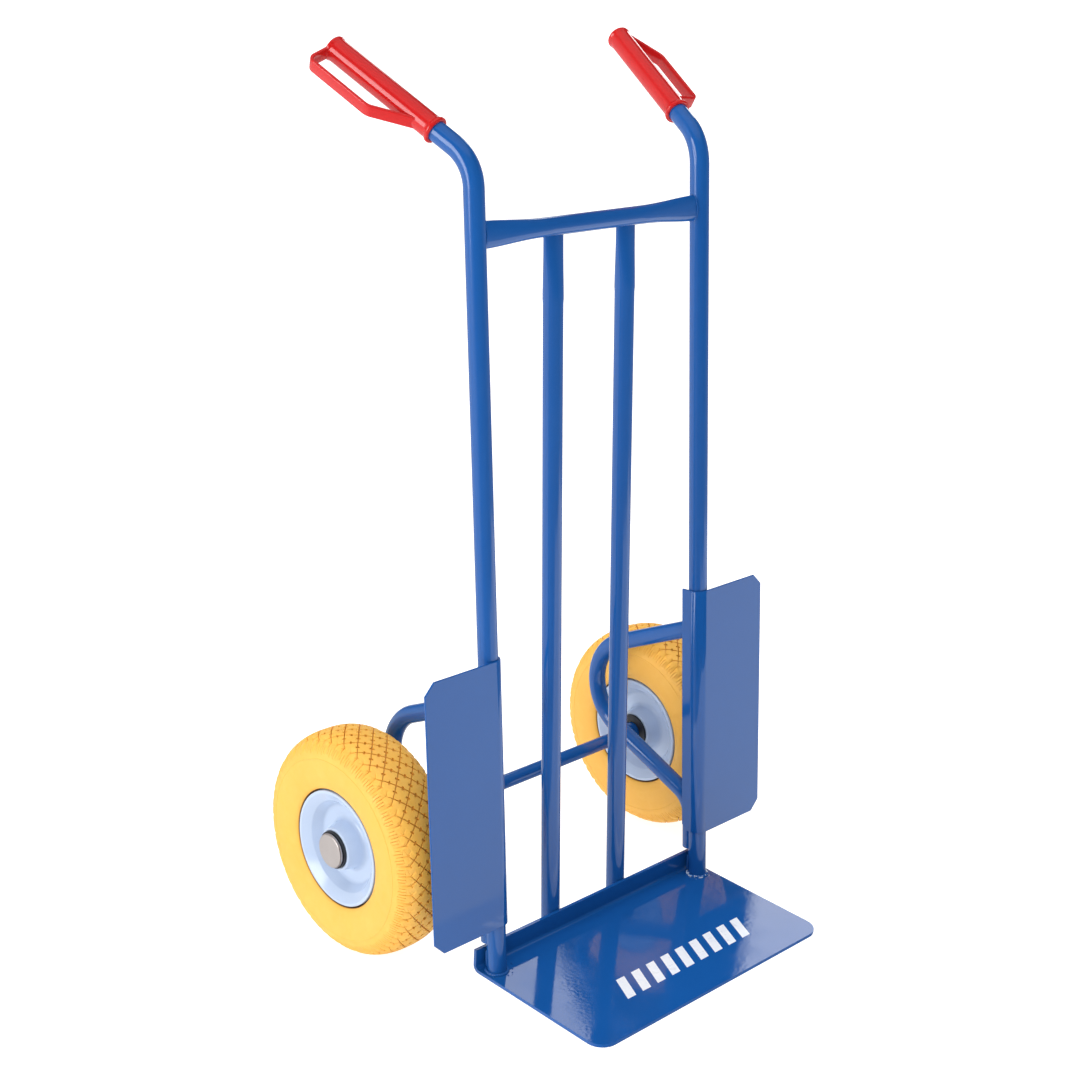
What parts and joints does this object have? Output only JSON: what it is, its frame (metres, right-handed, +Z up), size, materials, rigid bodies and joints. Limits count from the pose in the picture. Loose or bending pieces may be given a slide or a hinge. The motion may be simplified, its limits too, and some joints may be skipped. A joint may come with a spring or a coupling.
{
  "type": "hand truck",
  "caption": "Two-wheeled hand truck: welded tube frame with a folded toe plate, wheel guards, foam tyres on ball bearings and red grips with knuckle guards.",
  "frame": {"origin": "on the floor, under the middle of the whole truck", "axes": "+Z up, the toe plate points to -Y and the handles to +Y, +X runs along the axle"},
  "size_m": [0.5714, 0.462, 0.9934],
  "materials": {
    "frame_paint": "glossy blue powder coat",
    "sheet_paint": "glossy blue powder coat",
    "grip_plastic": "glossy moulded plastic",
    "tyre_foam": "matt yellow polyurethane foam",
    "rim_paint": "glossy pale blue-white paint",
    "holder_plastic": "black moulded plastic",
    "bearing_steel": "ground steel",
    "cap_steel": "satin zinc plate"
  },
  "bodies": {
    "frame": {"left_upright": "frame_paint", "right_upright": "frame_paint", "crossbar": "frame_paint", "left_centre_tube": "frame_paint", "right_centre_tube": "frame_paint", "toe_plate": "sheet_paint", "left_guard": "sheet_paint", "right_guard": "sheet_paint", "left_bracket": "frame_paint", "right_bracket": "frame_paint", "axle": "frame_paint", "left_grip": "grip_plastic", "right_grip": "grip_plastic", "left_bearing_inner_rings": "bearing_steel", "left_spacer_sleeve": "bearing_steel", "left_thrust_washer": "bearing_steel", "left_stop_ring": "frame_paint", "left_hub_cap": "cap_steel", "right_bearing_inner_rings": "bearing_steel", "right_spacer_sleeve": "bearing_steel", "right_thrust_washer": "bearing_steel", "right_stop_ring": "frame_paint", "right_hub_cap": "cap_steel"},
    "left_wheel": {"left_tyre": "tyre_foam", "left_outer_disc": "rim_paint", "left_inner_disc": "rim_paint", "left_rim_band": "rim_paint", "left_hub_tube": "rim_paint", "left_outer_bearing_holder": "holder_plastic", "left_inner_bearing_holder": "holder_plastic", "left_bearing_outer_rings": "bearing_steel", "left_bearing_balls": "bearing_steel"},
    "right_wheel": {"right_tyre": "tyre_foam", "right_outer_disc": "rim_paint", "right_inner_disc": "rim_paint", "right_rim_band": "rim_paint", "right_hub_tube": "rim_paint", "right_outer_bearing_holder": "holder_plastic", "right_inner_bearing_holder": "holder_plastic", "right_bearing_outer_rings": "bearing_steel", "right_bearing_balls": "bearing_steel"}
  },
  "joints": [
    {"name": "left_wheel_spin", "type": "hinge", "parent": "frame", "child": "left_wheel", "pos_m": [-0.24, 0.101, 0.13], "axis": [1, 0, 0], "continuous": true},
    {"name": "right_wheel_spin", "type": "hinge", "parent": "frame", "child": "right_wheel", "pos_m": [0.24, 0.101, 0.13], "axis": [1, 0, 0], "continuous": true}
  ]
}
